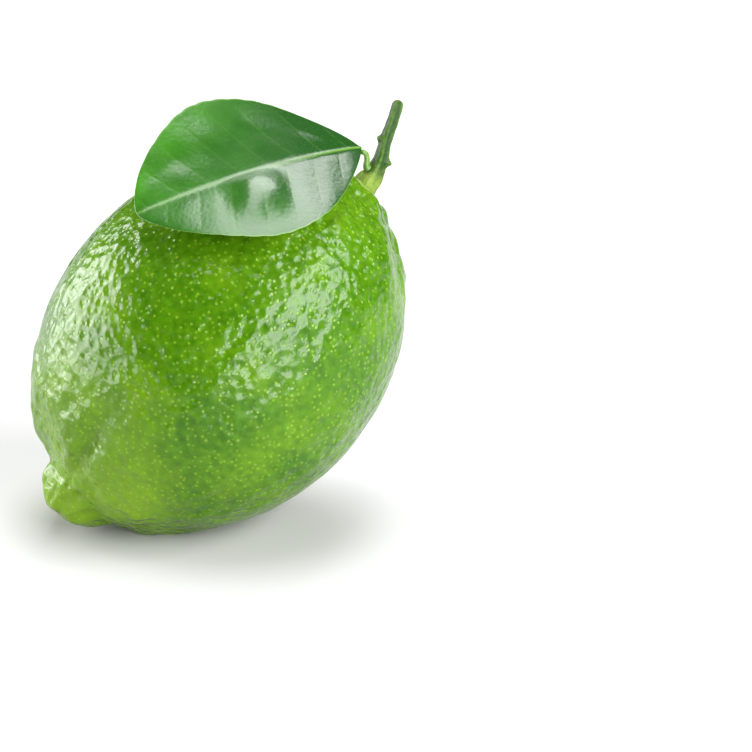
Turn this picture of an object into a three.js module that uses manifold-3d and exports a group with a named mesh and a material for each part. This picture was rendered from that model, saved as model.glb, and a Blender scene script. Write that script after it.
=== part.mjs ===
// A whole Persian lime, picked with a short piece of twig and one leaf, as it rests on a table.
// It rests on a small flat spot of its belly, with the nipple end low and the stem end high.
//
// Units are millimetres and degrees. +Z is up, +X is the way the stem end leans, and the origin is the
// middle of the resting spot. Five pieces make the lime: fruit, calyx, stem, petiole and leaf_blade.
import * as THREE from "three";
import { LoftGeometry } from "three/addons/geometries/LoftGeometry.js";
import { ParametricGeometry } from "three/addons/geometries/ParametricGeometry.js";
import { mergeVertices } from "three/addons/utils/BufferGeometryUtils.js";
import Module from "manifold-3d";

// ---- Driving dimensions ----

// The fruit is three rounded swellings on one axis, blended together. "reach" is how far a swelling's end
// lies from the middle of the body, and "fullness" is 2 for an ellipse and more for a blunter end.
const BODY = { radius: 27, halfLength: 32.6, fullness: 2 };
const NIPPLE = { radius: 6.6, halfLength: 9, fullness: 2.4, reach: 37.7 };
const NECK = { radius: 7.6, halfLength: 5.6, fullness: 2.4, reach: 35 };
const SWELLING_BLEND = 2.6;
// The axis bends towards the back at each end: rise is how far the end moves, and start is where the bend begins.
const NIPPLE_BEND = { start: -24, rise: -0.1 };
const NECK_BEND = { start: 18, rise: 1.3 };
const STEM_DIMPLE = { depth: 1.3, radius: 3.6 };

// The body is a little out of round, and both ends are ribbed.
const BODY_LOBES = [
  { count: 2, height: 0.006, turn: 20 },
  { count: 3, height: 0.007, turn: 70 },
];
const END_RIBS = [
  { middle: -30, spread: 5, count: 5, height: 0.06, turn: 35 },
  { middle: 31.5, spread: 4, count: 6, height: 0.06, turn: 10 },
];
// Furrows along the axis beside the nipple: turn is the middle's angle, and width is in degrees.
const FURROWS = [
  { middle: -31.5, spread: 2.6, turn: 100, width: 45, depth: 0.6 },
  { middle: -26, spread: 5, turn: 152, width: 9, depth: 1 },
  { middle: -31, spread: 3.6, turn: 225, width: 75, depth: -1.8 },
];

const TILT = 42;
const SPOT_DEPTH = 1.25;

// The calyx's outline from its seat up, as [height, radius] pairs.
const CALYX = { outline: [[0, 1.4], [0.45, 2.4], [0.8, 2.9], [1.15, 2.7], [1.5, 1.8]], lobes: 5, lobeHeight: 0.16 };
// The clear space left between pieces that grew together.
const GAP = 0.4;

// The stem's route starts on the calyx. Offsets are in the part's axes.
const STEM_ROUTE = [
  [1.45, 0.05, 1.3],
  [2.7, 0.25, 2.75],
  [3.8, 0.5, 4.5],
  [4.4, 0.9, 6.2],
  [5.1, 1.3, 8.0],
  [6.1, 1.8, 10.2],
  [7.0, 2.5, 13.0],
];
const STEM = { footRadius: 1.8, radius: 1.05, tipRadius: 0.88, flare: 0.17, ridges: 4, ridgeHeight: 0.07 };
const STEM_KNOTS = [
  { along: 0.36, turn: 0, height: 0.55, length: 0.045, width: 0.5 },
  { along: 0.6, turn: 180, height: 0.3, length: 0.035, width: 0.8 },
];

// The petiole leaves the stem's side, rises and bends over into the midrib.
const PETIOLE_ROUTE = [
  [0.65, 0.15, 3.8],
  [0.75, 0.25, 4.5],
  [0.8, 0.35, 5.3],
  [0.45, 0.35, 6.05],
];
const PETIOLE = { radius: 0.6, endRadius: 0.5 };

const LEAF = {
  base: [30.6, 0.4, 58.4],
  chord: 42.1,
  halfWidth: 14.3,
  arch: 4.2,
  sway: 1.3,
  twist: 3.5,
  thickness: 0.6,
  fold: 10,
  wave: 0.35,
  heading: 192.3,
  droop: 4.5,
  lean: -34.5,
};

// ---- How finely each piece is divided ----
const FRUIT_RINGS = 44;
const FRUIT_SIDES = 44;
const LIMB_SIDES = 12;
const STEM_RINGS = 26;
const PETIOLE_RINGS = 9;
const CALYX_SIDES = 30;
const LEAF_RINGS = 24;
const LEAF_COLUMNS = 8;

const radians = THREE.MathUtils.degToRad;
const wasm = await Module();
wasm.setup();

// ---- Shape of the fruit, in its own frame: the axis is X, the stem end is +X and the back is +Z ----

// Radius at x of a rounded swelling centred on the axis: a superellipse, and 0 beyond its ends.
function swelling(x, middle, { radius, halfLength, fullness }) {
  const share = Math.min(1, Math.abs(x - middle) / halfLength);
  return radius * (1 - share ** fullness) ** (1 / fullness);
}

// Radius of the fruit at x: the power sum of the body, the nipple and the neck.
function fruitRadius(x) {
  const radii = [
    swelling(x, 0, BODY),
    swelling(x, NIPPLE.halfLength - NIPPLE.reach, NIPPLE),
    swelling(x, NECK.reach - NECK.halfLength, NECK),
  ];
  return radii.reduce((sum, r) => sum + r ** SWELLING_BLEND, 0) ** (1 / SWELLING_BLEND);
}

// How far out of round the fruit is at x, as a factor on the radius.
function fruitRibs(x, angle) {
  let factor = 1;
  for (const { count, height, turn } of BODY_LOBES) {
    factor += height * Math.cos(count * (angle - radians(turn)));
  }
  for (const { middle, spread, count, height, turn } of END_RIBS) {
    const near = Math.exp(-(((x - middle) / spread) ** 2));
    factor += near * height * Math.cos(count * (angle - radians(turn)));
  }
  return factor;
}

// How deep the furrows are at x.
function furrowDepth(x, angle) {
  return FURROWS.reduce((sum, { middle, spread, turn, width, depth }) => {
    const aside = (2 * Math.sin((angle - radians(turn)) / 2)) / radians(width);
    return sum + depth * Math.exp(-(((x - middle) / spread) ** 2) - aside ** 2);
  }, 0);
}

// How far the axis has bent at x: nothing at the start of the bend and the whole rise at the end of the fruit.
function bendAt(x, { start, rise }, end) {
  return rise * Math.max(0, (x - start) / (end - start)) ** 2;
}

// A point of the skin: share runs from the nipple's tip (0) to the stem end (1).
function skinPoint(share, angle) {
  const x = THREE.MathUtils.lerp(-NIPPLE.reach, NECK.reach, (1 - Math.cos(Math.PI * share)) / 2);
  const r = share > 0 && share < 1 ? fruitRadius(x) * fruitRibs(x, angle) - furrowDepth(x, angle) : 0;
  const bend = bendAt(x, NIPPLE_BEND, -NIPPLE.reach) + bendAt(x, NECK_BEND, NECK.reach);
  const sink = x > 0 ? STEM_DIMPLE.depth * Math.exp(-((r / STEM_DIMPLE.radius) ** 2)) : 0;
  return new THREE.Vector3(x - sink, r * Math.cos(angle), r * Math.sin(angle) + bend);
}

// ---- Loft helpers ----

// A closed ring of points, one for each of "count" angles.
function ring(count, pointAt) {
  return Array.from({ length: count }, (_, i) => pointAt((2 * Math.PI * i) / count));
}

function loft(sections) {
  return new LoftGeometry(sections, { capStart: true, capEnd: true });
}

// A round limb along a curve. radiusAt(share, angle) gives its radius, and angle 0 is the section's side.
function limb(curve, rings, radiusAt) {
  const frames = curve.computeFrenetFrames(rings, false);
  const sections = Array.from({ length: rings + 1 }, (_, i) => {
    const centre = curve.getPointAt(i / rings);
    return ring(LIMB_SIDES, (angle) => {
      const r = radiusAt(i / rings, angle);
      return centre
        .clone()
        .addScaledVector(frames.normals[i], r * Math.cos(angle))
        .addScaledVector(frames.binormals[i], r * Math.sin(angle));
    });
  });
  return loft(sections);
}

// A geometry as a solid, with its shared vertices merged.
function solidFrom(geometry) {
  const bare = new THREE.BufferGeometry()
    .setAttribute("position", geometry.getAttribute("position"))
    .setIndex(geometry.getIndex());
  const merged = mergeVertices(bare);
  const triVerts = new Uint32Array(merged.index.array);
  return new wasm.Manifold(
    new wasm.Mesh({ numProp: 3, vertProperties: merged.attributes.position.array, triVerts }),
  );
}

function geometryFrom(solid) {
  const { vertProperties, triVerts } = solid.getMesh();
  return new THREE.BufferGeometry()
    .setAttribute("position", new THREE.BufferAttribute(vertProperties, 3))
    .setIndex(new THREE.BufferAttribute(triVerts, 1));
}

// ---- Where the pieces stand ----

const tilt = radians(TILT);
const axis = new THREE.Vector3(Math.cos(tilt), 0, Math.sin(tilt));
// Height of the body's middle over its lowest point, and how far that point lies towards the nipple.
const support = Math.hypot(BODY.halfLength * Math.sin(tilt), BODY.radius * Math.cos(tilt));
const lean = ((BODY.halfLength ** 2 - BODY.radius ** 2) * Math.sin(tilt) * Math.cos(tilt)) / support;
const bodyMiddle = new THREE.Vector3(lean, 0, support - SPOT_DEPTH);
const fruitTurn = new THREE.Euler(0, -tilt, 0);
const back = new THREE.Vector3(-Math.sin(tilt), 0, Math.cos(tilt));
const calyxSeat = bodyMiddle
  .clone()
  .addScaledVector(axis, NECK.reach - STEM_DIMPLE.depth + GAP)
  .addScaledVector(back, NECK_BEND.rise);

// ---- The pieces ----

// The fruit, tilted and set down, with the resting spot cut flat at z = 0.
function fruitGeometry() {
  const skin = (u, v, target) => target.copy(skinPoint(v, 2 * Math.PI * (u % 1)));
  const standing = new THREE.Matrix4().makeRotationFromEuler(fruitTurn).setPosition(bodyMiddle);
  const whole = solidFrom(new ParametricGeometry(skin, FRUIT_SIDES, FRUIT_RINGS).applyMatrix4(standing));
  const size = 4 * BODY.radius;
  const table = solidFrom(new THREE.BoxGeometry(size, size, size).translate(0, 0, -size / 2));
  return geometryFrom(whole.subtract(table));
}

// The calyx, the five-lobed button that the fruit hung from, in the fruit's own frame with its seat at x = 0.
function calyxGeometry() {
  const top = CALYX.outline.at(-1)[0];
  const sections = CALYX.outline.map(([height, radius]) =>
    ring(CALYX_SIDES, (angle) => {
      const lobed = 1 + CALYX.lobeHeight * (1 - height / top) * Math.cos(CALYX.lobes * angle);
      return new THREE.Vector3(height, radius * lobed * Math.cos(angle), radius * lobed * Math.sin(angle));
    }),
  );
  return loft(sections);
}

// A smooth curve through points given as offsets from the calyx's seat.
function routeFromCalyx(offsets) {
  return new THREE.CatmullRomCurve3(offsets.map((p) => calyxSeat.clone().add(new THREE.Vector3(...p))));
}

// The stem: a ridged green twig that flares at its foot, with a broken side shoot and a bud scar.
function stemGeometry() {
  return limb(routeFromCalyx(STEM_ROUTE), STEM_RINGS, (share, angle) => {
    const flare = (STEM.footRadius - STEM.radius) * Math.exp(-((share / STEM.flare) ** 2));
    const shaft = THREE.MathUtils.lerp(STEM.radius, STEM.tipRadius, share);
    const ridged = 1 + STEM.ridgeHeight * Math.cos(STEM.ridges * angle);
    let r = (shaft + flare) * ridged;
    for (const { along, turn, height, length, width } of STEM_KNOTS) {
      const aside = Math.sin((angle - radians(turn)) / 2) * 2;
      r += height * Math.exp(-(((share - along) / length) ** 2) - (aside / width) ** 2);
    }
    return r;
  });
}

// The petiole: a short stalk from the stem's side, up and over into the blade.
function petioleGeometry() {
  const radiusAt = (share) => THREE.MathUtils.lerp(PETIOLE.radius, PETIOLE.endRadius, share);
  return limb(routeFromCalyx(PETIOLE_ROUTE), PETIOLE_RINGS, radiusAt);
}

// Half width of the blade at share 0 (base) to 1 (tip): widest a little past the middle.
function bladeHalfWidth(share) {
  return LEAF.halfWidth * Math.sin(Math.PI * share ** 1.3) ** 0.66;
}

// A point of the blade in its own frame: X runs from base to tip, Y across, and Z out of the upper face.
function bladePoint(share, across, side) {
  const reach = across * bladeHalfWidth(share);
  const turn = radians(LEAF.twist * (share - 0.5) + LEAF.fold * Math.sign(across));
  const arch = LEAF.arch * Math.sin(Math.PI * share) ** 0.85;
  const wave = LEAF.wave * across ** 2 * Math.sin(3 * Math.PI * share);
  return new THREE.Vector3(
    LEAF.chord * share,
    reach * Math.cos(turn) + LEAF.sway * Math.sin(Math.PI * share),
    reach * Math.sin(turn) + arch + wave + (side * LEAF.thickness) / 2,
  );
}

// The leaf blade: folded along its midrib, arched from base to tip, with a slightly wavy margin.
function leafGeometry() {
  const sections = Array.from({ length: LEAF_RINGS }, (_, i) => {
    const share = (i + 0.6) / (LEAF_RINGS + 0.2);
    const across = Array.from({ length: 2 * LEAF_COLUMNS + 1 }, (_, j) => j / LEAF_COLUMNS - 1);
    const lower = across.map((a) => bladePoint(share, a, -1));
    const upper = across.map((a) => bladePoint(share, a, 1));
    return [...upper.reverse(), ...lower];
  });
  return loft(sections);
}

// ---- Finishes and assembly ----

const SKIN = new THREE.MeshStandardMaterial({ color: 0x4c8c12, roughness: 0.32, metalness: 0 });
const CALYX_GREEN = new THREE.MeshStandardMaterial({ color: 0x9fbf4a, roughness: 0.6, metalness: 0 });
const TWIG_GREEN = new THREE.MeshStandardMaterial({ color: 0x3f7a2c, roughness: 0.5, metalness: 0 });
const PETIOLE_GREEN = new THREE.MeshStandardMaterial({ color: 0x8db63a, roughness: 0.5, metalness: 0 });
const LEAF_GREEN = new THREE.MeshStandardMaterial({ color: 0x1f5c1c, roughness: 0.28, metalness: 0 });

function piece(name, geometry, material) {
  const mesh = new THREE.Mesh(geometry, material);
  mesh.name = name;
  return mesh;
}

const lime = new THREE.Group();
lime.add(piece("fruit", fruitGeometry(), SKIN));

const calyx = piece("calyx", calyxGeometry(), CALYX_GREEN);
calyx.position.copy(calyxSeat);
calyx.rotation.copy(fruitTurn);
lime.add(calyx);

lime.add(piece("stem", stemGeometry(), TWIG_GREEN));
lime.add(piece("petiole", petioleGeometry(), PETIOLE_GREEN));

const leaf = piece("leaf_blade", leafGeometry(), LEAF_GREEN);
leaf.position.set(...LEAF.base);
leaf.rotation.set(radians(LEAF.lean), radians(LEAF.droop), radians(LEAF.heading), "ZYX");
lime.add(leaf);

export default lime;
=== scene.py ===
"""A whole Persian lime with a short piece of twig and one leaf, at rest on a pale table.

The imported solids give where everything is. This script gives each piece its fine surface: the
pebbled rind with its oil glands, the lobed calyx, the ridged twig, the leaf stalk and the veined
leaf. Shapes are worked out in millimetres and put into the meshes in metres.
"""

import logging
import math
from dataclasses import dataclass, field
from enum import Enum
from typing import Any

import bpy
import numpy as np
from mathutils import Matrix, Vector


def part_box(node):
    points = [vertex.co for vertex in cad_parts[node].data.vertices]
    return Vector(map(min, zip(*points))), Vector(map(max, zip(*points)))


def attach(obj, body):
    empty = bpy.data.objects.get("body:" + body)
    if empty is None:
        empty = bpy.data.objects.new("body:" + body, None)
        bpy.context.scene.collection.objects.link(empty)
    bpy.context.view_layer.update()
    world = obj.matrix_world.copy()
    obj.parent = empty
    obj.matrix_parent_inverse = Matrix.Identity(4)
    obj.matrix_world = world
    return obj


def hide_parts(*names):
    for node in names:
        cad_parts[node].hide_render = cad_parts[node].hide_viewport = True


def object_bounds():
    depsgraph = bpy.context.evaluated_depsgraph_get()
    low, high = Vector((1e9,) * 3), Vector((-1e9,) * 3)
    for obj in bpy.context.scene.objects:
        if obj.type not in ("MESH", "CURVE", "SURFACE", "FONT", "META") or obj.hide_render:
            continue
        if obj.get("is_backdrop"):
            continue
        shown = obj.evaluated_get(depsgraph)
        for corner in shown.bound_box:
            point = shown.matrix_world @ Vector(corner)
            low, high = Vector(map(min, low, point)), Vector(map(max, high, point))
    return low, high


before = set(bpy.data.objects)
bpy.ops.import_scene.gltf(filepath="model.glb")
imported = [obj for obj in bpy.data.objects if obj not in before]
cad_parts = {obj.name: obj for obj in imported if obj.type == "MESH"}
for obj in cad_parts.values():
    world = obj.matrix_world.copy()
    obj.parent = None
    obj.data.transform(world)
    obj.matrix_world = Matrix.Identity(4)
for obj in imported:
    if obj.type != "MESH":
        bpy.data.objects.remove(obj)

Array = np.ndarray
Socket = bpy.types.NodeSocket
Colour = tuple[float, float, float, float]
GroupStart = tuple["Wiring", bpy.types.Node, bpy.types.Node]

MM = 0.001
LOG = logging.getLogger("lime")


# ---- Surfaces worked out with numpy ----


def unit(vectors: Array) -> Array:
    """The vectors, each divided by its length."""
    return vectors / np.maximum(np.linalg.norm(vectors, axis=-1, keepdims=True), 1e-12)


def bump(offset: Array, width: float) -> Array:
    """A round bump: exp(-(offset / width) squared), 1 in the middle and near 0 two widths away."""
    return np.exp(-((offset / width) ** 2))


def ease(value: Array, low: float | Array, high: float | Array) -> Array:
    """0 up to low, 1 from high, and 3 t squared - 2 t cubed between them."""
    t = np.clip((value - low) / (high - low), 0.0, 1.0)
    return t * t * (3.0 - 2.0 * t)


def around(angle: Array, middle: float) -> Array:
    """How far an angle lies from the middle, in radians, as the chord 2 sin(difference / 2)."""
    return 2.0 * np.sin((angle - middle) / 2.0)


def turn_about(points: Array, axis: int, degrees: float) -> Array:
    """Points turned about one of the three axes by the right-hand rule.

    Args:
        points: Points, with x, y and z last.
        axis: 0, 1 or 2 for X, Y or Z.
        degrees: How far they turn.

    Returns:
        The turned points.
    """
    c, s = math.cos(math.radians(degrees)), math.sin(math.radians(degrees))
    matrix = np.identity(3)
    first, second = (axis + 1) % 3, (axis + 2) % 3
    matrix[first, first] = matrix[second, second] = c
    matrix[first, second], matrix[second, first] = -s, s
    return points @ matrix.T


@dataclass(frozen=True)
class Unevenness:
    """Smooth seeded noise in space, from about -1 to 1, with lumps about one spacing wide.

    Random values stand on a cubic lattice. Between them the value is blended along each axis with
    the weight 3 t squared - 2 t cubed, where t is the share of the way to the next lattice point.
    """

    spacing: float
    seed: int
    cells: int = 48

    def at(self, points: Array) -> Array:
        """The noise at each point.

        Args:
            points: Points in millimetres, with x, y and z last.

        Returns:
            One value for each point.
        """
        table = np.random.default_rng(self.seed).uniform(-1.0, 1.0, (self.cells,) * 3)
        scaled = points / self.spacing + self.cells * 8
        low = np.floor(scaled).astype(int)
        share = scaled - low
        weight = share * share * (3.0 - 2.0 * share)
        total = np.zeros(points.shape[:-1])
        for corner in np.ndindex(2, 2, 2):
            near = np.prod(np.where(np.array(corner) == 1, weight, 1.0 - weight), axis=-1)
            cell = (low + corner) % self.cells
            total += near * table[cell[..., 0], cell[..., 1], cell[..., 2]]
        return total


def surface_normals(rings: Array) -> Array:
    """Outward unit normals of a closed tube of rings: the cross product of its two tangents.

    Args:
        rings: Points of shape (stations, sides, 3), each ring closed on itself.

    Returns:
        Normals of the same shape.
    """
    along = np.gradient(rings, axis=0)
    across = np.roll(rings, -1, axis=1) - np.roll(rings, 1, axis=1)
    normals = unit(np.cross(along, across))
    outward = rings - rings.mean(axis=1, keepdims=True)
    return normals * (1.0 if (normals * outward).sum() > 0.0 else -1.0)


def smooth_path(points: Array, count: int) -> Array:
    """Stations evenly spaced on a smooth curve through the points.

    Between two points p1 and p2, with neighbours p0 and p3, the curve is the Catmull-Rom cubic
    (2 p1 + (p2 - p0) t + (2 p0 - 5 p1 + 4 p2 - p3) t^2 + (3 p1 - p0 - 3 p2 + p3) t^3) / 2.

    Args:
        points: The points of the route, of shape (n, 3).
        count: How many stations to make.

    Returns:
        Stations of shape (count, 3).
    """
    padded = np.vstack([2 * points[0] - points[1], points, 2 * points[-1] - points[-2]])
    position = np.linspace(0.0, len(points) - 1.0, 40 * len(points))
    start = np.minimum(position.astype(int), len(points) - 2)
    t = (position - start)[:, None]
    p0, p1, p2, p3 = (padded[start + i] for i in range(4))
    curve = (
        2 * p1
        + (p2 - p0) * t
        + (2 * p0 - 5 * p1 + 4 * p2 - p3) * t**2
        + (3 * p1 - p0 - 3 * p2 + p3) * t**3
    ) / 2
    travelled = np.concatenate([[0.0], np.cumsum(np.linalg.norm(np.diff(curve, axis=0), axis=1))])
    wanted = np.linspace(0.0, travelled[-1], count)
    return np.stack([np.interp(wanted, travelled, curve[:, i]) for i in range(3)], axis=-1)


def limb_rings(stations: Array, radii: Array, side: Vector) -> Array:
    """A limb carried along a path: centre + r cos(angle) u + r sin(angle) v at each station.

    Args:
        stations: The path, of shape (n, 3).
        radii: The radius at each station and angle, of shape (n, sides).
        side: Roughly where angle 0 points. u is this direction made square to the path.

    Returns:
        Rings of shape (n, sides, 3).
    """
    tangent = unit(np.gradient(stations, axis=0))
    lead = np.array(side) - (tangent @ np.array(side))[:, None] * tangent
    u = unit(lead)
    v = np.cross(tangent, u)
    angle = angles(radii.shape[1])[None, :, None]
    arms = np.cos(angle) * u[:, None, :] + np.sin(angle) * v[:, None, :]
    return stations[:, None, :] + radii[..., None] * arms


def angles(sides: int) -> Array:
    """Evenly spaced angles once round, in radians."""
    return np.arange(sides) * 2.0 * math.pi / sides


def moved_to_node(points: Array, node: str, share: tuple[float, float, float] = (0.5, 0.5, 0.5)) -> Array:
    """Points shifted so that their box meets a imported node's box at one place.

    Args:
        points: Points in millimetres, with x, y and z last.
        node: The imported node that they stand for.
        share: Where the boxes meet along X, Y and Z: 0 at the low side, 1 at the high side.

    Returns:
        The shifted points.
    """
    flat, place = points.reshape(-1, 3), np.array(share)
    low, high = (np.array(corner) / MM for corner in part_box(node))
    own = flat.min(axis=0) * (1.0 - place) + flat.max(axis=0) * place
    return points + low * (1.0 - place) + high * place - own


def ring_faces(stations: int, sides: int) -> list[list[int]]:
    """Faces of a closed tube of rings: quads between rings and a fan of triangles at each pole.

    The quad after ring i and side j is (i, j), (i, j + 1), (i + 1, j + 1), (i + 1, j), where j
    wraps round. The two pole points come after all the rings.

    Args:
        stations: How many rings there are.
        sides: How many points each ring has.

    Returns:
        The faces as lists of point numbers.
    """
    i, j = np.meshgrid(np.arange(stations - 1), np.arange(sides), indexing="ij")
    here, there = i * sides + j, i * sides + (j + 1) % sides
    quads = np.stack([here, there, there + sides, here + sides], axis=-1).reshape(-1, 4)
    j = np.arange(sides)
    following = (j + 1) % sides
    first, last = stations * sides, stations * sides + 1
    final = (stations - 1) * sides
    start_fan = np.stack([following, j, np.full(sides, first)], axis=-1)
    end_fan = np.stack([final + j, final + following, np.full(sides, last)], axis=-1)
    return quads.tolist() + start_fan.tolist() + end_fan.tolist()


def closed_piece(
    name: str, rings: Array, marks: dict[str, Array], poles: Array | None = None
) -> bpy.types.Object:
    """Makes a closed, smooth-shaded mesh from rings, with its faces pointing outwards.

    The faces are turned over if the signed volume, the sum of (a x b) . c over them, is negative.

    Args:
        name: The piece's name.
        rings: Points in millimetres, of shape (stations, sides, 3).
        marks: Named values over the surface, each of shape (stations, sides), that the materials
            read. A pole takes the mean of the ring beside it.
        poles: The first and the last pole, of shape (2, 3), or the middles of the end rings.

    Returns:
        The new object, at the origin.
    """
    stations, sides = rings.shape[:2]
    if poles is None:
        poles = rings[[0, -1]].mean(axis=1)
    points = np.vstack([rings.reshape(-1, 3), poles]) * MM
    faces = ring_faces(stations, sides)
    a, b, c = (points[np.array([face[i] for face in faces])] for i in range(3))
    outward = (np.cross(a, b) * c).sum() > 0.0
    mesh = bpy.data.meshes.new(name)
    mesh.from_pydata(points.tolist(), [], faces if outward else [face[::-1] for face in faces])
    mesh.polygons.foreach_set("use_smooth", np.ones(len(mesh.polygons), bool))
    for mark, values in marks.items():
        whole = np.concatenate([values.ravel(), [values[0].mean(), values[-1].mean()]])
        attribute = mesh.attributes.new(mark, "FLOAT", "POINT")
        attribute.data.foreach_set("value", whole.astype(np.float32))
    mesh.validate()
    mesh.update()
    piece = bpy.data.objects.new(name, mesh)
    bpy.context.scene.collection.objects.link(piece)
    return piece


# ---- Shader nodes ----


class Wiring:
    """Adds nodes to one shader tree and joins them up."""

    def __init__(self, tree: bpy.types.NodeTree) -> None:
        """Starts with a tree that may already hold nodes."""
        self.tree = tree

    def add(self, kind: str, inputs: dict[str | int, Any] | None = None, **settings: Any) -> bpy.types.Node:
        """Adds one node.

        Args:
            kind: The node's type, such as "ShaderNodeMath".
            inputs: A value or a socket for each input, by name or by number.
            settings: The node's own settings, such as operation="ADD".

        Returns:
            The new node.
        """
        node = self.tree.nodes.new(kind)
        for name, value in settings.items():
            setattr(node, name, value)
        for key, value in (inputs or {}).items():
            if isinstance(value, bpy.types.NodeSocket):
                self.tree.links.new(value, node.inputs[key])
            else:
                node.inputs[key].default_value = value
        return node

    def join(self, value: Socket, node: bpy.types.Node, socket: str) -> None:
        """Joins a value to one of a node's inputs."""
        self.tree.links.new(value, node.inputs[socket])

    def sum(self, operation: str, first: Any, second: Any = 0.0, clamp: bool = False) -> Socket:
        """One step of arithmetic on values or sockets, such as "MULTIPLY" or "ADD"."""
        inputs = {0: first, 1: second}
        return self.add("ShaderNodeMath", inputs, operation=operation, use_clamp=clamp).outputs[0]

    def ramp(self, value: Socket, low: float, high: float, start: float = 0.0, end: float = 1.0) -> Socket:
        """An eased change from start to end as the value goes from low to high."""
        inputs = {"Value": value, "From Min": low, "From Max": high, "To Min": start, "To Max": end}
        return self.add("ShaderNodeMapRange", inputs, interpolation_type="SMOOTHSTEP").outputs[0]

    def blend(self, share: Socket, first: Any, second: Any) -> Socket:
        """A colour that goes from the first to the second with the share."""
        return self.add("ShaderNodeMix", {0: share, 6: first, 7: second}, data_type="RGBA").outputs[2]

    def mark(self, name: str) -> Socket:
        """One of the piece's own named values."""
        return self.add("ShaderNodeAttribute", attribute_name=name).outputs["Fac"]

    def place(self) -> Socket:
        """The place on the piece, in metres."""
        return self.add("ShaderNodeTexCoord").outputs["Object"]

    def use(self, group: bpy.types.NodeTree, inputs: dict[str, Any]) -> Socket:
        """Adds a shared group with this material's own values, and gives back its output."""
        return self.add("ShaderNodeGroup", inputs, node_tree=group).outputs[0]


def new_group(name: str, inputs: dict[str, float], outputs: list[str]) -> GroupStart:
    """Starts a shared group of shader nodes that takes a place and values and gives out values.

    Args:
        name: The group's name.
        inputs: The value inputs, each with its usual value.
        outputs: The value outputs.

    Returns:
        The wiring of the group, its input node and its output node.
    """
    tree = bpy.data.node_groups.new(name, "ShaderNodeTree")
    tree.interface.new_socket("Place", in_out="INPUT", socket_type="NodeSocketVector")
    for label, usual in inputs.items():
        socket = tree.interface.new_socket(label, in_out="INPUT", socket_type="NodeSocketFloat")
        socket.default_value = usual
    for label in outputs:
        tree.interface.new_socket(label, in_out="OUTPUT", socket_type="NodeSocketFloat")
    wiring = Wiring(tree)
    return wiring, wiring.add("NodeGroupInput"), wiring.add("NodeGroupOutput")


def gland_group() -> bpy.types.NodeTree:
    """Oil glands: small round dots, one near the middle of each cell of a random cell pattern.

    Spacing is the cell size in millimetres, and Size the dot's radius as a share of it.

    Returns:
        The group, which gives out Dots, 1 on a dot and 0 off it.
    """
    w, given, out = new_group("oil_glands", {"Spacing": 1.0, "Size": 0.3, "Softness": 0.12}, ["Dots"])
    scale = w.sum("DIVIDE", 1.0 / MM, given.outputs["Spacing"])
    inputs = {"Vector": given.outputs["Place"], "Scale": scale, "Randomness": 0.7}
    cells = w.add("ShaderNodeTexVoronoi", inputs)
    edge = w.sum("SUBTRACT", given.outputs["Size"], cells.outputs["Distance"])
    dots = w.sum("ADD", w.sum("DIVIDE", edge, given.outputs["Softness"]), 0.5, clamp=True)
    w.join(dots, out, "Dots")
    return w.tree


def mottle_group() -> bpy.types.NodeTree:
    """Soft patches: noise of the given Spacing in millimetres, spread out to fill 0 to 1."""
    w, given, out = new_group("mottle", {"Spacing": 8.0, "Detail": 3.0, "Contrast": 1.6}, ["Patches"])
    scale = w.sum("DIVIDE", 1.0 / MM, given.outputs["Spacing"])
    inputs = {"Vector": given.outputs["Place"], "Scale": scale, "Detail": given.outputs["Detail"]}
    noise = w.add("ShaderNodeTexNoise", inputs)
    apart = w.sum("MULTIPLY", w.sum("SUBTRACT", noise.outputs["Fac"], 0.5), given.outputs["Contrast"])
    w.join(w.sum("ADD", apart, 0.5, clamp=True), out, "Patches")
    return w.tree


def pebble_group() -> bpy.types.NodeTree:
    """Pebbled skin: rounded cells of the given Spacing, with a finer grain on top.

    The height is Depth times the smoothed distance to the cell's middle, plus Grain times a noise
    five times finer.

    Returns:
        The group, which gives out Height in millimetres.
    """
    usual = {"Spacing": 1.4, "Depth": 0.06, "Grain": 0.01}
    w, given, out = new_group("pebbles", usual, ["Height"])
    scale = w.sum("DIVIDE", 1.0 / MM, given.outputs["Spacing"])
    place = given.outputs["Place"]
    inputs = {"Vector": place, "Scale": scale, "Smoothness": 0.6}
    cells = w.add("ShaderNodeTexVoronoi", inputs, feature="SMOOTH_F1")
    finer = {"Vector": place, "Scale": w.sum("MULTIPLY", scale, 5.0), "Detail": 2.0}
    fine = w.add("ShaderNodeTexNoise", finer)
    height = w.sum("MULTIPLY", cells.outputs["Distance"], given.outputs["Depth"])
    grain = w.sum("MULTIPLY", fine.outputs["Fac"], given.outputs["Grain"])
    w.join(w.sum("ADD", height, grain), out, "Height")
    return w.tree


@dataclass(frozen=True)
class SharedEffects:
    """The shader groups that several materials use, built once."""

    glands: bpy.types.NodeTree = field(default_factory=gland_group)
    mottle: bpy.types.NodeTree = field(default_factory=mottle_group)
    pebbles: bpy.types.NodeTree = field(default_factory=pebble_group)


def new_material(name: str, constants: dict[str, Any]) -> tuple[bpy.types.Material, Wiring, bpy.types.Node]:
    """Starts a material with one Principled shader.

    Args:
        name: The material's name.
        constants: Values that are the same all over, by the shader's socket names.

    Returns:
        The material, its wiring and its shader.
    """
    material = bpy.data.materials.new(name)
    material.use_nodes = True
    shader = material.node_tree.nodes["Principled BSDF"]
    for socket, value in constants.items():
        shader.inputs[socket].default_value = value
    return material, Wiring(material.node_tree), shader


def add_relief(w: Wiring, shader: bpy.types.Node, height: Socket, strength: float = 1.0) -> None:
    """Joins a height in millimetres to a shader's normal."""
    bumps = w.add("ShaderNodeBump", {"Height": height, "Strength": strength, "Distance": MM})
    w.join(bumps.outputs["Normal"], shader, "Normal")


# ---- Finishes ----


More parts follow.
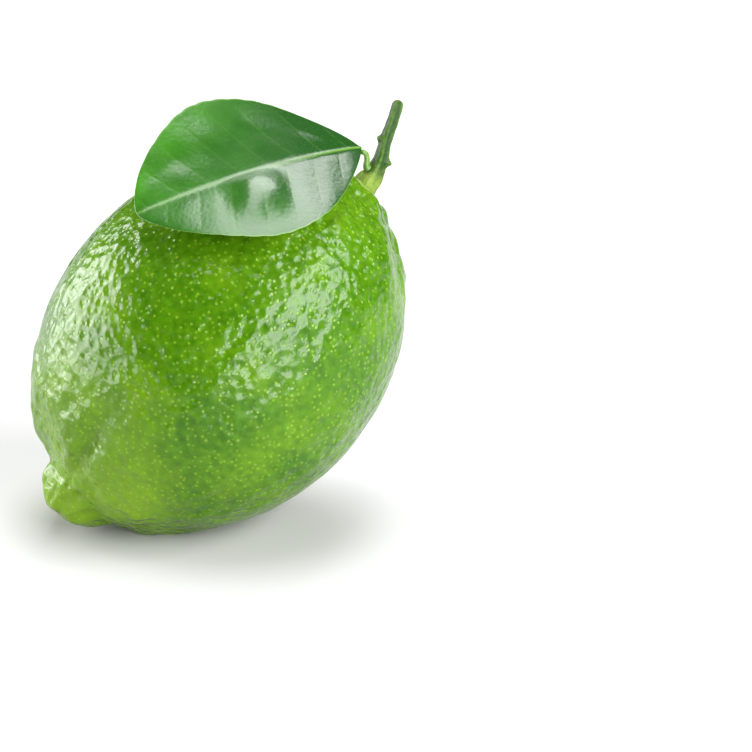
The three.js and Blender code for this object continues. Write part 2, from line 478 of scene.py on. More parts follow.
@dataclass(frozen=True)
class Rind:
    """The waxy rind: deep green, paler where it ripened, with pale oil gland dots."""

    deep: Colour = (0.02, 0.075, 0.0008, 1.0)
    middle: Colour = (0.058, 0.156, 0.0014, 1.0)
    ripe: Colour = (0.18, 0.31, 0.008, 1.0)
    dot: Colour = (0.27, 0.43, 0.03, 1.0)
    scar: Colour = (0.24, 0.17, 0.045, 1.0)
    gland_spacing: float = 0.95

    def material(self, effects: SharedEffects) -> bpy.types.Material:
        """Builds the rind's material.

        Args:
            effects: The shared shader groups.

        Returns:
            The material.
        """
        constants = {
            "Specular IOR Level": 0.28,
            "IOR": 1.48,
            "Subsurface Weight": 0.06,
            "Subsurface Scale": 0.002,
        }
        material, w, shader = new_material("rind", constants)
        place = w.place()
        patches = w.use(effects.mottle, {"Place": place, "Spacing": 11.0, "Contrast": 1.7})
        small = {"Place": place, "Spacing": 1.3, "Detail": 2.0, "Contrast": 2.6}
        flecks = w.use(effects.mottle, small)
        tone = w.sum("ADD", w.sum("MULTIPLY", patches, 0.45), w.sum("MULTIPLY", flecks, 0.55))
        green = w.blend(tone, self.deep, self.middle)
        uneven = w.sum("MULTIPLY", w.sum("SUBTRACT", patches, 0.5), 0.5)
        ripeness = w.sum("ADD", w.mark("ripe"), uneven, clamp=True)
        green = w.blend(ripeness, green, self.ripe)
        spots = {"Place": place, "Spacing": self.gland_spacing, "Size": 0.23, "Softness": 0.24}
        dots = w.use(effects.glands, spots)
        shown = w.sum("MULTIPLY", dots, 0.28)
        green = w.blend(shown, green, self.dot)
        colour = w.blend(w.mark("scar"), green, self.scar)
        w.join(colour, shader, "Base Color")
        rough = w.ramp(w.mark("scar"), 0.0, 1.0, 0.16, 0.7)
        w.join(w.sum("ADD", rough, w.sum("MULTIPLY", flecks, 0.08)), shader, "Roughness")
        relief = w.use(effects.pebbles, {"Place": place, "Spacing": 1.5, "Depth": 0.31, "Grain": 0.03})
        pits = w.sum("MULTIPLY", dots, -0.05)
        add_relief(w, shader, w.sum("ADD", relief, pits))
        return material


@dataclass(frozen=True)
class Bark:
    """Young green bark of the twig: a painted highlight along its ridges, paler on its foot and worn bud, and
    brown where it was cut.
    """

    green: Colour = (0.009, 0.038, 0.002, 1.0)
    # Colour of the painted highlight along the ridges, also used for the paler worn bud.
    ridge: Colour = (0.06, 0.13, 0.014, 1.0)
    foot: Colour = (0.14, 0.21, 0.028, 1.0)
    cut: Colour = (0.07, 0.08, 0.025, 1.0)

    def material(self, effects: SharedEffects) -> bpy.types.Material:
        """Builds the bark's material.

        Args:
            effects: The shared shader groups.

        Returns:
            The material.
        """
        material, w, shader = new_material("bark", {"Specular IOR Level": 0.18, "Subsurface Scale": 0.001})
        place = w.place()
        patches = w.use(effects.mottle, {"Place": place, "Spacing": 0.7, "Contrast": 2.6})
        # Painted highlight along the ridges, broken up by the mottle, plus the paler worn bud.
        lit = w.sum("MULTIPLY", w.mark("ridge"), w.sum("ADD", w.sum("MULTIPLY", patches, 0.6), 0.4))
        colour = w.blend(lit, self.green, self.ridge)
        uneven = w.sum("MULTIPLY", w.sum("SUBTRACT", patches, 0.5), 0.6)
        foot = w.sum("ADD", w.mark("foot"), uneven, clamp=True)
        colour = w.blend(w.sum("MULTIPLY", foot, w.mark("foot")), colour, self.foot)
        colour = w.blend(w.mark("cut"), colour, self.cut)
        w.join(colour, shader, "Base Color")
        w.join(w.ramp(w.mark("cut"), 0.0, 1.0, 0.45, 0.8), shader, "Roughness")
        relief = w.use(effects.pebbles, {"Place": place, "Spacing": 0.5, "Depth": 0.09, "Grain": 0.03})
        add_relief(w, shader, relief)
        return material


@dataclass(frozen=True)
class GreenStalk:
    """Soft pale green plant tissue, as on the calyx and the petiole."""

    name: str
    green: Colour
    pale: Colour
    spacing: float

    def material(self, effects: SharedEffects) -> bpy.types.Material:
        """Builds the stalk's material.

        Args:
            effects: The shared shader groups.

        Returns:
            The material.
        """
        constants = {"Roughness": 0.45, "Subsurface Weight": 0.15, "Subsurface Scale": 0.001}
        material, w, shader = new_material(self.name, constants)
        place = w.place()
        patches = w.use(effects.mottle, {"Place": place, "Spacing": self.spacing, "Contrast": 2.2})
        dots = w.use(effects.glands, {"Place": place, "Spacing": 0.5, "Size": 0.28})
        mottled = w.sum("MULTIPLY", patches, w.mark("pale"))
        share = w.sum("ADD", mottled, w.sum("MULTIPLY", dots, 0.25), clamp=True)
        w.join(w.blend(share, self.green, self.pale), shader, "Base Color")
        relief = w.use(effects.pebbles, {"Place": place, "Spacing": 0.6, "Depth": 0.05, "Grain": 0.01})
        add_relief(w, shader, relief)
        return material


@dataclass(frozen=True)
class LeafWax:
    """The leaf's two faces: dark and waxy above, paler and duller below, with pale veins."""

    upper: Colour = (0.005, 0.042, 0.0025, 1.0)
    # Lighter green of the upper face towards the tip and on the far half.
    tip_green: Colour = (0.036, 0.17, 0.005, 1.0)
    under: Colour = (0.15, 0.3, 0.06, 1.0)
    vein: Colour = (0.12, 0.25, 0.035, 1.0)
    margin: Colour = (0.15, 0.27, 0.06, 1.0)

    def material(self, effects: SharedEffects) -> bpy.types.Material:
        """Builds the leaf's material.

        Args:
            effects: The shared shader groups.

        Returns:
            The material.
        """
        material, w, shader = new_material("leaf_wax", {"IOR": 1.5})
        place = w.place()
        patches = w.use(effects.mottle, {"Place": place, "Spacing": 6.0, "Contrast": 1.8})
        # Lighter green towards the tip and on the far half, broken up by the mottle.
        tip_green = w.sum("MULTIPLY", w.mark("tip_green"), w.sum("ADD", w.sum("MULTIPLY", patches, 0.7), 0.3))
        colour = w.blend(tip_green, self.upper, self.tip_green)
        glands = w.use(effects.glands, {"Place": place, "Spacing": 0.55, "Size": 0.25})
        colour = w.blend(w.sum("MULTIPLY", glands, 0.05), colour, self.vein)
        colour = w.blend(w.mark("underside"), colour, self.under)
        colour = w.blend(w.mark("vein"), colour, self.vein)
        colour = w.blend(w.mark("margin"), colour, self.margin)
        w.join(colour, shader, "Base Color")
        rough = w.ramp(w.mark("underside"), 0.0, 1.0, 0.22, 0.6)
        w.join(w.sum("ADD", rough, w.sum("MULTIPLY", patches, 0.08)), shader, "Roughness")
        relief = w.use(effects.pebbles, {"Place": place, "Spacing": 0.7, "Depth": 0.02, "Grain": 0.007})
        add_relief(w, shader, relief)
        return material


# ---- The pieces ----


class Slot(Enum):
    """The record's material slots."""

    SKIN = "skin"
    CALYX = "calyx"
    TWIG = "twig"
    PETIOLE = "petiole"
    LEAF = "leaf"


def finish_piece(piece: bpy.types.Object, node: str, material: bpy.types.Material) -> None:
    """Dresses a piece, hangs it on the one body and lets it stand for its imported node.

    Args:
        piece: The new piece.
        node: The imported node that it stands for.
        material: Its material.
    """
    piece.data.materials.append(material)
    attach(piece, "root")
    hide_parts(node)
    LOG.info("%s: %d points", piece.name, len(piece.data.vertices))


@dataclass(frozen=True)
class Swelling:
    """One rounded part of the fruit, a superellipse turned about the axis, in millimetres."""

    radius: float
    half_length: float
    fullness: float
    middle: float

    def radius_at(self, x: Array) -> Array:
        """Radius (1 - |x - middle| / half length, to the power fullness) ^ (1 / fullness)."""
        share = np.minimum(1.0, np.abs(x - self.middle) / self.half_length)
        return self.radius * (1.0 - share**self.fullness) ** (1.0 / self.fullness)


@dataclass(frozen=True)
class Lobes:
    """Ridges all round the fruit, as a share of its radius, that fade out over a length from x.

    x and length are millimetres. phase is where the first ridge stands, in radians, and sway
    spaces the ridges unevenly.
    """

    count: int
    phase: float
    height: float
    x: float = 0.0
    length: float = math.inf
    sway: float = 0.0

    def height_at(self, x: Array, angle: Array) -> Array:
        """Height times a bump along the axis times cos(count (angle - phase) + sway sin(angle))."""
        wave = np.cos(self.count * (angle - self.phase) + self.sway * np.sin(angle))
        return self.height * bump(x - self.x, self.length) * wave


@dataclass(frozen=True)
class Furrow:
    """A shallow groove along the fruit, or a low swelling if its depth is negative.

    x, length and depth are millimetres, and turn and width are degrees.
    """

    x: float
    length: float
    turn: float
    width: float
    depth: float

    def depth_at(self, x: Array, angle: Array) -> Array:
        """Depth times a bump along the axis times a bump round it."""
        aside = around(angle, math.radians(self.turn))
        return self.depth * bump(x - self.x, self.length) * bump(aside, math.radians(self.width))


@dataclass
class Fruit:
    """The fruit: a tilted, pebbled body with a nipple at the low end and a neck at the high end.

    Lengths are in millimetres and angles in degrees. In the fruit's own frame the axis is X, the
    stem end is +X and the back is +Z.
    """

    body: Swelling = Swelling(radius=27.0, half_length=32.6, fullness=2.0, middle=0.0)
    nipple: Swelling = Swelling(radius=6.6, half_length=9.0, fullness=2.4, middle=-28.7)
    neck: Swelling = Swelling(radius=7.6, half_length=5.6, fullness=2.4, middle=29.4)
    swelling_blend: float = 2.6
    tilt: float = 42.0
    nipple_bend: tuple[float, float] = (-24.0, -0.1)
    neck_bend: tuple[float, float] = (18.0, 1.3)
    dimple_depth: float = 1.3
    dimple_radius: float = 3.6
    furrows: tuple[Furrow, ...] = (
        Furrow(x=-31.5, length=2.6, turn=100.0, width=45.0, depth=0.6),
        Furrow(x=-26.0, length=6.0, turn=141.0, width=6.0, depth=1.8),
        Furrow(x=-31.0, length=3.6, turn=225.0, width=75.0, depth=-1.8),
        Furrow(x=-33.0, length=3.6, turn=190.0, width=9.0, depth=0.7),
        Furrow(x=-33.0, length=3.4, turn=122.0, width=9.0, depth=0.6),
        Furrow(x=-31.0, length=3.0, turn=290.0, width=14.0, depth=0.5),
        Furrow(x=-29.0, length=3.5, turn=20.0, width=12.0, depth=0.5),
        Furrow(x=27.0, length=3.2, turn=285.0, width=28.0, depth=0.7),
        Furrow(x=21.0, length=3.2, turn=280.0, width=26.0, depth=-0.45),
        Furrow(x=30.0, length=3.0, turn=150.0, width=12.0, depth=0.45),
        Furrow(x=30.0, length=3.0, turn=230.0, width=13.0, depth=0.45),
        Furrow(x=30.0, length=3.0, turn=320.0, width=12.0, depth=0.4),
    )
    lobes: tuple[Lobes, ...] = (
        Lobes(count=2, phase=0.35, height=0.006),
        Lobes(count=3, phase=1.22, height=0.007),
        Lobes(count=7, phase=0.61, height=0.06, x=-32.0, length=4.5, sway=0.9),
        Lobes(count=6, phase=0.17, height=0.06, x=31.5, length=4.0),
    )
    scar_radius: float = 1.5
    dents: float = 0.16
    swells: float = 0.12
    pebbles: float = 0.15
    stations: int = 230
    sides: int = 420
    finish: Rind = Rind()

    @property
    def ends(self) -> tuple[float, float]:
        """The x of the nipple's tip and of the stem end."""
        return self.nipple.middle - self.nipple.half_length, self.neck.middle + self.neck.half_length

    def axis_bend(self, x: Array) -> Array:
        """How far the axis has moved towards the back: rise times ((x - start) / (end - start))^2."""
        low, high = self.ends
        total = np.zeros_like(x)
        for (start, rise), end in ((self.nipple_bend, low), (self.neck_bend, high)):
            total = total + rise * np.maximum(0.0, (x - start) / (end - start)) ** 2
        return total

    def smooth_skin(self, share: Array, angle: Array) -> Array:
        """The skin without its relief.

        With x = middle of the ends - half their distance times cos(pi share), the radius is the
        power sum of the three swellings' radii, times 1 + the lobes, less the furrows.
        The stem end sinks by depth times exp(-(r / radius) squared).

        Args:
            share: 0 at the nipple's tip and 1 at the stem end.
            angle: The angle round the axis, in radians.

        Returns:
            Points in the fruit's own frame, in millimetres.
        """
        low, high = self.ends
        x = (low + high) / 2.0 - (high - low) / 2.0 * np.cos(math.pi * share)
        p = self.swelling_blend
        r = sum(s.radius_at(x) ** p for s in (self.body, self.nipple, self.neck)) ** (1.0 / p)
        r = r * (1.0 + sum(ridges.height_at(x, angle) for ridges in self.lobes))
        r = r - sum(furrow.depth_at(x, angle) for furrow in self.furrows) * ease(r, 0.5, 3.5)
        sink = np.where(x > 0, self.dimple_depth * bump(r, self.dimple_radius), 0.0)
        return np.stack([x - sink, r * np.cos(angle), r * np.sin(angle) + self.axis_bend(x)], axis=-1)

    def relief(self, skin: Array) -> Array:
        """How far the skin stands out, in millimetres.

        Broad dents 9 mm wide, low swells 3.6 mm wide and pebbles 1.8 mm wide and stretched along
        the axis add up, and the last two stand higher towards the nipple and the neck.

        Args:
            skin: Points of the smooth skin in the fruit's own frame.

        Returns:
            One height for each point.
        """
        x = skin[..., 0]
        low, high = self.ends
        rough_end = bump(x - low, 14.0) + bump(x - high, 9.0)
        stretched = skin * np.array([0.5, 1.0, 1.0])
        broad = self.dents * Unevenness(9.0, 3).at(skin)
        swells = (self.swells + 0.4 * rough_end) * Unevenness(3.6, 5).at(skin)
        pebbles = (self.pebbles + 0.18 * rough_end) * Unevenness(1.8, 7).at(stretched)
        return broad + swells + pebbles

    def standing(self, points: Array) -> Array:
        """Points turned from the fruit's own frame to the standing fruit, still about its middle."""
        return turn_about(points, 1, -self.tilt)

    def build(self, effects: SharedEffects) -> bpy.types.Object:
        """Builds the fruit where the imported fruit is, flat where it rests.

        Args:
            effects: The shared shader groups.

        Returns:
            The fruit.
        """
        share = (np.arange(self.stations) + 0.7) / (self.stations + 0.4)
        share, angle = np.meshgrid(share, angles(self.sides), indexing="ij")
        skin = self.smooth_skin(share, angle)
        rings = skin + self.relief(skin)[..., None] * surface_normals(skin)
        poles = self.smooth_skin(np.array([0.0, 1.0]), np.zeros(2))
        x, y, z = np.moveaxis(skin, -1, 0)
        low, high = self.ends
        marks = {
            "ripe": 0.4 * bump(x - low, 11.0) + 0.14 * ease(-x, -6.0, 30.0) + 0.1 * bump(x - high, 7.0),
            "scar": bump(np.hypot(x - low, np.hypot(y, z)), self.scar_radius),
        }
        bottom, top = (np.array(corner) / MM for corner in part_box("fruit"))
        smooth = self.standing(skin).reshape(-1, 3)
        shift = (bottom + top - smooth.min(axis=0) - smooth.max(axis=0)) / 2.0
        shift[2] = top[2] - smooth[:, 2].max()
        rings, poles = self.standing(rings) + shift, self.standing(poles) + shift
        rings[..., 2] = np.maximum(rings[..., 2], bottom[2])
        piece = closed_piece("lime_fruit", rings, marks, poles)
        finish_piece(piece, "fruit", self.finish.material(effects))
        return piece


@dataclass
class Calyx:
    """The five-lobed button that the fruit hung from, in millimetres."""

    height: float = 1.9
    sunk: float = 1.2
    radius: float = 2.3
    lobes: int = 5
    tilt: float = 42.0
    stations: int = 40
    sides: int = 120
    finish: GreenStalk = GreenStalk("calyx_green", (0.05, 0.13, 0.01, 1.0), (0.15, 0.24, 0.025, 1.0), 1.2)

    def build(self, effects: SharedEffects) -> bpy.types.Object:
        """Builds the calyx.

        With t = h / height, the radius is the widest radius times 0.5 + 0.5 sin(pi (0.82 t + 0.08))
        - 0.12 t^4, and the lobes multiply it by 1 + (1 - t) (0.14 c + 0.05 c |c|), where c is the
        cosine of five times the angle. The whole is sunk along the fruit's axis.

        Args:
            effects: The shared shader groups.

        Returns:
            The calyx.
        """
        share, angle = np.meshgrid(np.linspace(0.0, 1.0, self.stations), angles(self.sides), indexing="ij")
        h = self.height * share
        bulge = 0.5 + 0.5 * np.sin(math.pi * np.clip(share * 0.82 + 0.08, 0.0, 1.0)) - 0.12 * share**4
        lobe = np.cos(self.lobes * angle)
        lobed = 1.0 + (1.0 - share) * (0.14 * lobe + 0.05 * np.abs(lobe) * lobe)
        r = self.radius * bulge * lobed
        droop = 0.25 * (1.0 - share) * np.maximum(lobe, 0.0)
        rings = np.stack([h - droop, r * np.cos(angle), r * np.sin(angle)], axis=-1)
        rings = turn_about(rings, 1, -self.tilt)
        down = turn_about(np.array([-self.sunk, 0.0, 0.0]), 1, -self.tilt)
        rings = rings + 0.04 * Unevenness(0.8, 11).at(rings)[..., None] * surface_normals(rings)
        rings = moved_to_node(rings, "calyx") + down
        marks = {"pale": 0.3 + 0.7 * ease(share, 0.1, 0.7)}
        piece = closed_piece("calyx_button", rings, marks)
        finish_piece(piece, "calyx", self.finish.material(effects))
        return piece


@dataclass(frozen=True)
class Knot:
    """A bump on the twig. along and length are shares of the twig, turn is degrees, height mm."""

    along: float
    turn: float
    height: float
    length: float
    width: float

    def height_at(self, share: Array, angle: Array) -> Array:
        """Height times a bump along the twig times a bump round it."""
        aside = around(angle, math.radians(self.turn))
        return self.height * bump(share - self.along, self.length) * bump(aside, self.width)


@dataclass
class Twig:
    """The piece of green twig: four-ridged, wide at its foot and cut at its tip, in millimetres."""

    route: tuple[tuple[float, float, float], ...] = (
        (-0.3, 0.0, -0.6),
        (0.5, 0.0, 0.4),
        (1.45, 0.05, 1.3),
        (2.4, 0.25, 2.75),
        (3.3, 0.5, 4.5),
        (3.9, 0.9, 6.2),
        (4.7, 1.3, 8.0),
        (5.85, 1.8, 10.2),
        (7.0, 2.5, 13.0),
    )
    radius: float = 1.02
    tip_radius: float = 0.88
    foot_radius: float = 2.0
    foot_length: float = 0.27
    ridges: int = 4
    ridge_height: float = 0.085
    grooves: int = 17
    groove_height: float = 0.018
    knots: tuple[Knot, ...] = (
        Knot(along=0.36, turn=0.0, height=0.75, length=0.034, width=0.62),
        Knot(along=0.57, turn=180.0, height=0.5, length=0.03, width=0.8),
        Knot(along=0.69, turn=70.0, height=0.14, length=0.03, width=0.5),
    )
    stations: int = 190
    sides: int = 72
    finish: Bark = Bark()

    def build(self, effects: SharedEffects) -> bpy.types.Object:
        """Builds the twig along its route.

        The radius eases from the foot to the shaft, is raised on four ridges, and falls to the tip
        as a quarter circle. Fine grooves run lengthwise. Ridges and grooves are shares of the radius.

        Args:
            effects: The shared shader groups.

        Returns:
            The twig.
        """
        stations = smooth_path(np.array(self.route), self.stations)
        share, angle = np.meshgrid(np.linspace(0.0, 1.0, self.stations), angles(self.sides), indexing="ij")
        shaft = self.radius + (self.tip_radius - self.radius) * share
        flare = (self.foot_radius - self.radius) * bump(share, self.foot_length)
        slow_turn = angle + 0.5 * share
        ridge = np.cos(self.ridges * slow_turn)
        grooves = self.groove_height * np.cos(self.grooves * slow_turn + 2.0 * np.sin(9.0 * share))
        r = (shaft + flare) * (1.0 + self.ridge_height * ridge + 0.02 * ridge**3 + grooves)
        knots = sum(k.height_at(share, angle) for k in self.knots)
        rounded = np.sqrt(np.clip(1.0 - (np.maximum(0.0, share - 0.94) / 0.0605) ** 2, 0.0, 1.0))
        r = (r + knots) * rounded * (1.0 - 0.35 * bump(share, 0.012))
        rings = limb_rings(stations, r, Vector((1.0, -0.3, 0.0)))
        rings = rings + 0.06 * Unevenness(0.7, 13).at(rings)[..., None] * surface_normals(rings)
        rings = moved_to_node(rings, "stem", (1.0, 0.5, 1.0))
        shoot, bud = self.knots[:2]
        worn = bump(share - bud.along, bud.length) * bump(around(angle, math.pi), bud.width)
        broken = 0.5 * bump(share - shoot.along, 0.016) * bump(around(angle, 0.0), 0.22)
        marks = {
            # Where the painted ridge highlight goes, plus the paler worn bud.
            "ridge": np.clip(0.5 + 0.5 * ridge, 0.0, 1.0) ** 1.5 + 0.8 * worn,
            "foot": 1.0 - ease(share, 0.1, 0.36),
            "cut": ease(share, 0.975, 0.995) + broken,
        }
        piece = closed_piece("twig", rings, marks)
        finish_piece(piece, "stem", self.finish.material(effects))
        return piece


@dataclass
class LeafStalk:
    """The petiole: a short stalk that rises and bends over into the midrib, in millimetres."""

    route: tuple[tuple[float, float, float], ...] = (
        (0.9, 0.15, 3.0),
        (0.6, 0.2, 3.8),
        (0.7, 0.3, 5.0),
        (0.5, 0.35, 5.8),
        (-0.3, 0.3, 6.25),
    )
    radius: float = 0.6
    end_radius: float = 0.46
    stations: int = 60
    sides: int = 40
    finish: GreenStalk = GreenStalk("petiole_green", (0.04, 0.12, 0.008, 1.0), (0.14, 0.25, 0.025, 1.0), 0.9)

    def build(self, effects: SharedEffects) -> bpy.types.Object:
        """Builds the petiole: an eased taper with a swollen foot and a groove along its top.

        Args:
            effects: The shared shader groups.

        Returns:
            The petiole.
        """
        stations = smooth_path(np.array(self.route), self.stations)
        share, angle = np.meshgrid(np.linspace(0.0, 1.0, self.stations), angles(self.sides), indexing="ij")
        r = self.radius + (self.end_radius - self.radius) * ease(share, 0.0, 0.8)
        r = r * (1.0 + 0.12 * bump(share - 0.08, 0.12) + 0.04 * np.cos(3 * angle))
        r = r * (1.0 - 0.18 * bump(around(angle, 0.0), 0.45) * ease(share, 0.1, 0.5))
        r = r * np.sqrt(np.clip(1.0 - (1.0 - ease(share, 0.0, 0.07)) * 0.75, 0.0, 1.0))
        r = r * np.sqrt(np.clip(1.0 - ease(share, 0.93, 1.0) * 0.75, 0.0, 1.0))
        rings = moved_to_node(limb_rings(stations, r, Vector((1.0, 0.0, 0.4))), "petiole", (0.2, 0.5, 1.0))
        piece = closed_piece("leaf_stalk", rings, {"pale": 0.35 + 0.65 * ease(share, 0.2, 0.9)})
        finish_piece(piece, "petiole", self.finish.material(effects))
        return piece


@dataclass
class Leaf:
    """The leaf blade: folded on its midrib, arched, quilted between its veins, in millimetres.

    In the leaf's own frame X runs from base to tip, Y across towards the near half, and Z out of
    the upper face. heading, droop and lean turn it about Z, Y and X, in degrees. dome, ridge, rise,
    waves, dip and lip are the heights of its ripples, and lift moves it to meet the petiole.
    """

    chord: float = 41.5
    half_width: float = 14.3
    thickness: float = 0.34
    edge_thickness: float = 0.16
    rib_thickness: float = 0.75
    arch: float = 4.2
    sway: float = 1.3
    twist: float = 3.5
    fold: float = 10.0
    heading: float = 192.3
    droop: float = 5.9
    lean: float = -34.5
    near_fullness: float = 1.05
    lift: tuple[float, float, float] = (0.35, 0.0, -0.2)
    dome: float = 0.035
    ridge: float = 1.1
    rise: float = 1.1
    waves: float = 0.26
    dip: float = 0.7
    lip: float = 0.15
    rib_width: float = 0.42
    vein_width: float = 0.2
    vein_spacing: float = 5.2
    vein_slope: float = 0.62
    teeth: int = 46
    stations: int = 260
    columns: int = 90
    finish: LeafWax = LeafWax()

    def width_at(self, share: Array) -> Array:
        """Half width: the widest times sin(pi share^1.3)^0.66, slimmer at the tip, with fine teeth."""
        slimmer = 1.0 - 0.05 * bump(share - 0.82, 0.14)
        outline = np.sin(math.pi * np.clip(share, 0.0, 1.0) ** 1.3) ** 0.66 * slimmer
        teeth = 1.0 + 0.01 * np.abs(np.sin(self.teeth * share)) * ease(share, 0.2, 0.35)
        return self.half_width * outline * teeth

    def vein_phase(self, share: Array, across: Array) -> Array:
        """Counts the side veins: (u - slope w + 0.012 w^2) / spacing, u along and w out from the rib."""
        u = self.chord * share
        w = np.abs(across) * self.width_at(share)
        shift = np.where(across > 0, 0.0, 0.45)
        return (u - self.vein_slope * w + 0.012 * w**2) / self.vein_spacing + shift

    def ripples(self, share: Array, across: Array) -> Array:
        """How far the blade stands out between its veins, in millimetres.

        With w the millimetres out from the midrib, the near half has a short ridge that runs outwards
        at half its length and starts as 1 - exp(-w / 1.5), and a rise of 1 - exp(-w / 2.8) towards the
        tip. The far half has low sine waves less a dip of 1 - exp(-w / 3) towards the base. The cosine
        of the vein count domes each field between two side veins, and the lip of the margin waves by
        the fourth power of the way out. All fade at both ends as sin(pi share)^0.6.

        Args:
            share: 0 at the base and 1 at the tip.
            across: -1 at the far margin, 0 on the midrib and 1 at the near margin.

        Returns:
            One height for each point.
        """
        out = np.abs(across)
        wide = out * self.width_at(share)
        ends = np.sin(math.pi * np.clip(share, 0.0, 1.0)) ** 0.6
        between = np.cos(2 * math.pi * self.vein_phase(share, across))
        dome = -self.dome * between * ease(out, 0.03, 0.25) * (1.0 - 0.8 * ease(out, 0.6, 1.0))
        skewed = share - 0.1 * out
        ridge = ease(skewed, 0.38, 0.56) - ease(skewed, 0.57, 0.7)
        ridge = self.ridge * ridge * (1.0 - np.exp(-wide / 1.5)) * (1.0 - ease(out, 0.35, 0.85))
        onset = ease(share, 0.41 - 0.25 * out, 0.53 + 0.2 * out)
        rise = self.rise * (1.0 - np.exp(-wide / 2.8)) * onset
        waves = self.waves * np.sin(5.0 * math.pi * (share - 0.2 * out)) * ease(out, 0.25, 0.6)
        waves = waves * (1.0 - ease(out, 0.5, 0.95))
        dip = self.dip * (1.0 - np.exp(-wide / 3.0)) * (1.0 - ease(share, 0.35, 0.7))
        lip = self.lip * out**4 * np.sin(5.5 * math.pi * share + np.where(across > 0, 0.0, 1.5))
        return ends * (dome + lip + np.where(across > 0, ridge + rise, waves - dip))

    def blade(self, share: Array, across: Array) -> Array:
        """The middle surface of the blade, in its own frame.

        A point lies across times the width out from the midrib, turned up by the fold and the twist,
        and the near half is widened by its fullness. The midrib sways by sway sin(pi share) and arches
        by arch sin(pi share)^0.85, and the ripples add on.

        Args:
            share: 0 at the base and 1 at the tip.
            across: -1 at the far margin, 0 on the midrib and 1 at the near margin.

        Returns:
            Points in millimetres.
        """
        reach = across * self.width_at(share) * np.where(across > 0, self.near_fullness, 1.0)
        soft_fold = np.tanh(across * self.width_at(share) / 0.8)
        turn = np.radians(self.twist * (share - 0.5)) + np.radians(self.fold) * soft_fold
        bow = np.sin(math.pi * np.clip(share, 0.0, 1.0))
        x = self.chord * share
        y = reach * np.cos(turn) + self.sway * bow
        z = reach * np.sin(turn) + self.arch * bow**0.85 + self.ripples(share, across)
        return np.stack([x, y, z], axis=-1)

    def build(self, effects: SharedEffects) -> bpy.types.Object:
        """Builds the blade as one closed sheet, thin at its margin and thick under its midrib.

        Each ring runs over the upper face from far to near and back under it. The thickness is
        split between the faces, and the rib stands out below as a round ridge.

        Args:
            effects: The shared shader groups.

        Returns:
            The leaf blade.
        """
        share = (np.arange(self.stations) + 0.6) / (self.stations + 0.2)
        column = np.sin(np.linspace(-math.pi / 2, math.pi / 2, self.columns))
        across = np.concatenate([column, column[::-1]])
        below = np.repeat([0.0, 1.0], self.columns)
        share, across = np.meshgrid(share, across, indexing="ij")
        below = np.broadcast_to(below, share.shape)
        middle = self.blade(share, across)
        along = np.gradient(middle[:, : self.columns], axis=0)
        over = np.gradient(middle[:, : self.columns], axis=1)
        normal = unit(np.cross(along, over))
        normal = np.concatenate([normal, normal[:, ::-1]], axis=1)
        out = np.abs(across)
        width = self.width_at(share)
        rib = bump(out * width, self.rib_width) * (1.0 - 0.75 * share)
        phase = self.vein_phase(share, across)
        from_vein = np.abs(phase - np.round(phase)) * self.vein_spacing
        vein = bump(from_vein, self.vein_width) * ease(out, 0.02, 0.1) * (1.0 - ease(out, 0.7, 0.98))
        round_edge = np.sqrt(np.clip(1.0 - out**10, 0.0, 1.0))
        thickness = self.edge_thickness + (self.thickness - self.edge_thickness) * (1.0 - out**2)
        half = thickness / 2.0 * round_edge
        above = half + 0.1 * rib - 0.02 * vein
        under = half + self.rib_thickness * rib + 0.06 * vein
        points = middle + (np.where(below > 0.5, -under, above))[..., None] * normal
        for axis, degrees in ((0, self.lean), (1, self.droop), (2, self.heading)):
            points = turn_about(points, axis, degrees)
        rings = moved_to_node(points, "leaf_blade", (1.0, 0.5, 0.5)) + np.array(self.lift)
        marks = {
            "vein": np.clip(0.75 * bump(out * width, 0.22) * (1.0 - 0.5 * share) + 0.07 * vein, 0.0, 1.0),
            "margin": 0.7 * bump(1.0 - out, 0.012),
            "underside": below,
            # Lighter green towards the tip, strongest on the far half.
            "tip_green": ease(share, 0.2, 0.85) * (0.5 + 0.5 * ease(-across, 0.2, 0.95)),
        }
        piece = closed_piece("leaf", rings, marks)
        finish_piece(piece, "leaf_blade", self.finish.material(effects))
        return piece


# ---- The set ----


def direction(azimuth: float, elevation: float) -> Vector:
    """The way from the object to a viewer at this azimuth (0 is -Y) and elevation, in degrees."""
    a, e = math.radians(azimuth), math.radians(elevation)
    return Vector((math.sin(a) * math.cos(e), -math.cos(a) * math.cos(e), math.sin(e)))


@dataclass(frozen=True)
class Table:
    """The plain pale surface that the lime stands on, in metres."""

    size: float = 5.0
    colour: Colour = (0.47, 0.47, 0.47, 1.0)

    def build(self, effects: SharedEffects) -> bpy.types.Object:
        """Builds the table with a faint unevenness in its gloss.

        Args:
            effects: The shared shader groups.

        Returns:
            The table.
        """
        half = self.size / 2.0
        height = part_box("fruit")[0].z
        mesh = bpy.data.meshes.new("table")
        corners = [(-half, -half, height), (half, -half, height), (half, half, height), (-half, half, height)]
        mesh.from_pydata(corners, [], [(0, 1, 2, 3)])
        table = bpy.data.objects.new("table", mesh)
        bpy.context.scene.collection.objects.link(table)
        constants = {"Base Color": self.colour, "Specular IOR Level": 0.2}
        material, w, shader = new_material("table_white", constants)
        patches = w.use(effects.mottle, {"Place": w.place(), "Spacing": 60.0})
        w.join(w.ramp(patches, 0.0, 1.0, 0.55, 0.65), shader, "Roughness")
        mesh.materials.append(material)
        table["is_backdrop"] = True
        return table


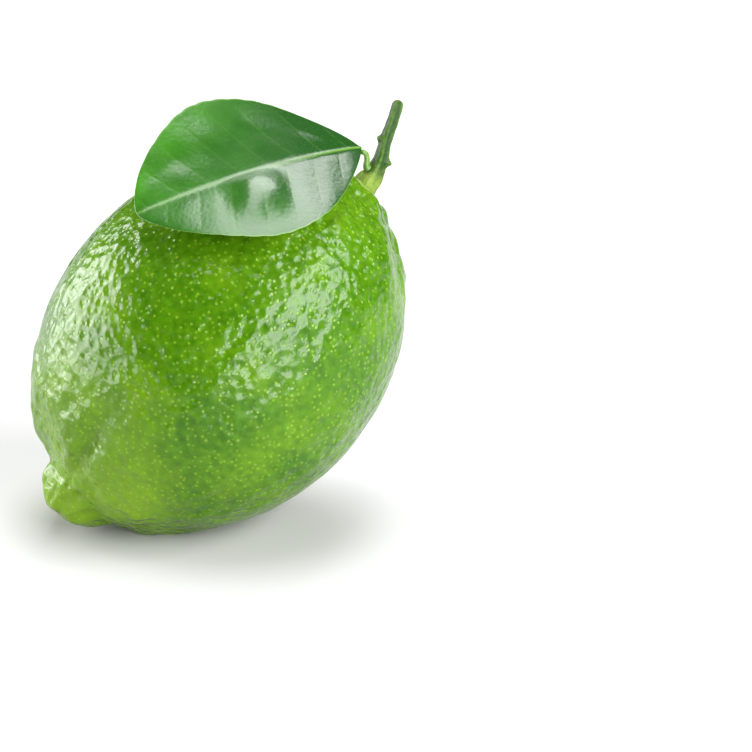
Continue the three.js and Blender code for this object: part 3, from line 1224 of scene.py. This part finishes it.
@dataclass(frozen=True)
class SoftBox:
    """One soft light on a stand. Its place is an azimuth from the camera's, an elevation and a distance."""

    name: str
    azimuth: float
    elevation: float
    distance: float
    width: float
    height: float
    brightness: float
    roll: float = 0.0

    def build(self, target: Vector, camera_azimuth: float) -> bpy.types.Object:
        """Builds the light, facing its target.

        The power is pi times the area times the brightness, where 1 makes a lit white card white.

        Args:
            target: The point that it faces, in metres.
            camera_azimuth: The camera's azimuth in degrees, which the light's own is added to.

        Returns:
            The light.
        """
        data = bpy.data.lights.new(self.name, "AREA")
        data.shape = "RECTANGLE"
        data.size, data.size_y = self.width, self.height
        data.energy = math.pi * self.width * self.height * self.brightness
        light = bpy.data.objects.new(self.name, data)
        way = direction(camera_azimuth + self.azimuth, self.elevation)
        light.location = target + way * self.distance
        light.rotation_euler = way.to_track_quat("Z", "Y").to_euler()
        light.rotation_euler.rotate_axis("Z", math.radians(self.roll))
        bpy.context.scene.collection.objects.link(light)
        return light


@dataclass(frozen=True)
class Studio:
    """The camera, the soft lights and the dim white room. Angles are degrees, lengths metres.

    The camera aims at the lime's middle, moved by aim_right and aim_up across its view.
    """

    azimuth: float = -20.0
    elevation: float = 20.0
    distance: float = 0.6
    lens: float = 178.7
    aim_right: float = 0.0245
    aim_up: float = -0.011
    room: float = 0.07
    boxes: tuple[SoftBox, ...] = (
        SoftBox("left_box", -96.0, 7.0, 0.8, width=1.35, height=0.54, brightness=10.5, roll=-20.0),
        SoftBox("right_box", 46.0, 20.0, 0.8, width=1.5, height=0.39, brightness=15.0, roll=38.0),
        SoftBox("back_box", 167.0, 70.0, 1.8, width=0.98, height=2.3, brightness=8.0),
    )

    def build(self) -> None:
        """Sets up the camera, the lights, the room and how the picture is shown."""
        low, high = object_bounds()
        target = (low + high) / 2.0
        back = direction(self.azimuth, self.elevation)
        right = Vector((math.cos(math.radians(self.azimuth)), math.sin(math.radians(self.azimuth)), 0.0))
        aim = target + right * self.aim_right + back.cross(right) * self.aim_up
        data = bpy.data.cameras.new("camera")
        data.lens = self.lens
        data.clip_start, data.clip_end = 0.01, 20.0
        camera = bpy.data.objects.new("camera", data)
        camera.location = aim + back * self.distance
        camera.rotation_euler = back.to_track_quat("Z", "Y").to_euler()
        bpy.context.scene.collection.objects.link(camera)
        bpy.context.scene.camera = camera
        for box in self.boxes:
            box.build(target, self.azimuth)
        world = bpy.data.worlds.new("room")
        world.use_nodes = True
        background = world.node_tree.nodes["Background"]
        background.inputs["Color"].default_value = (1.0, 1.0, 1.0, 1.0)
        background.inputs["Strength"].default_value = self.room
        bpy.context.scene.world = world
        bpy.context.scene.view_settings.view_transform = "Standard"


def main() -> None:
    logging.basicConfig(level=logging.INFO, format="%(name)s %(message)s")
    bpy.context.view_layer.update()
    Studio().build()
    effects = SharedEffects()
    for part in (Fruit(), Calyx(), Twig(), LeafStalk(), Leaf()):
        part.build(effects)
    Table().build(effects)


if __name__ == "__main__":
    main()
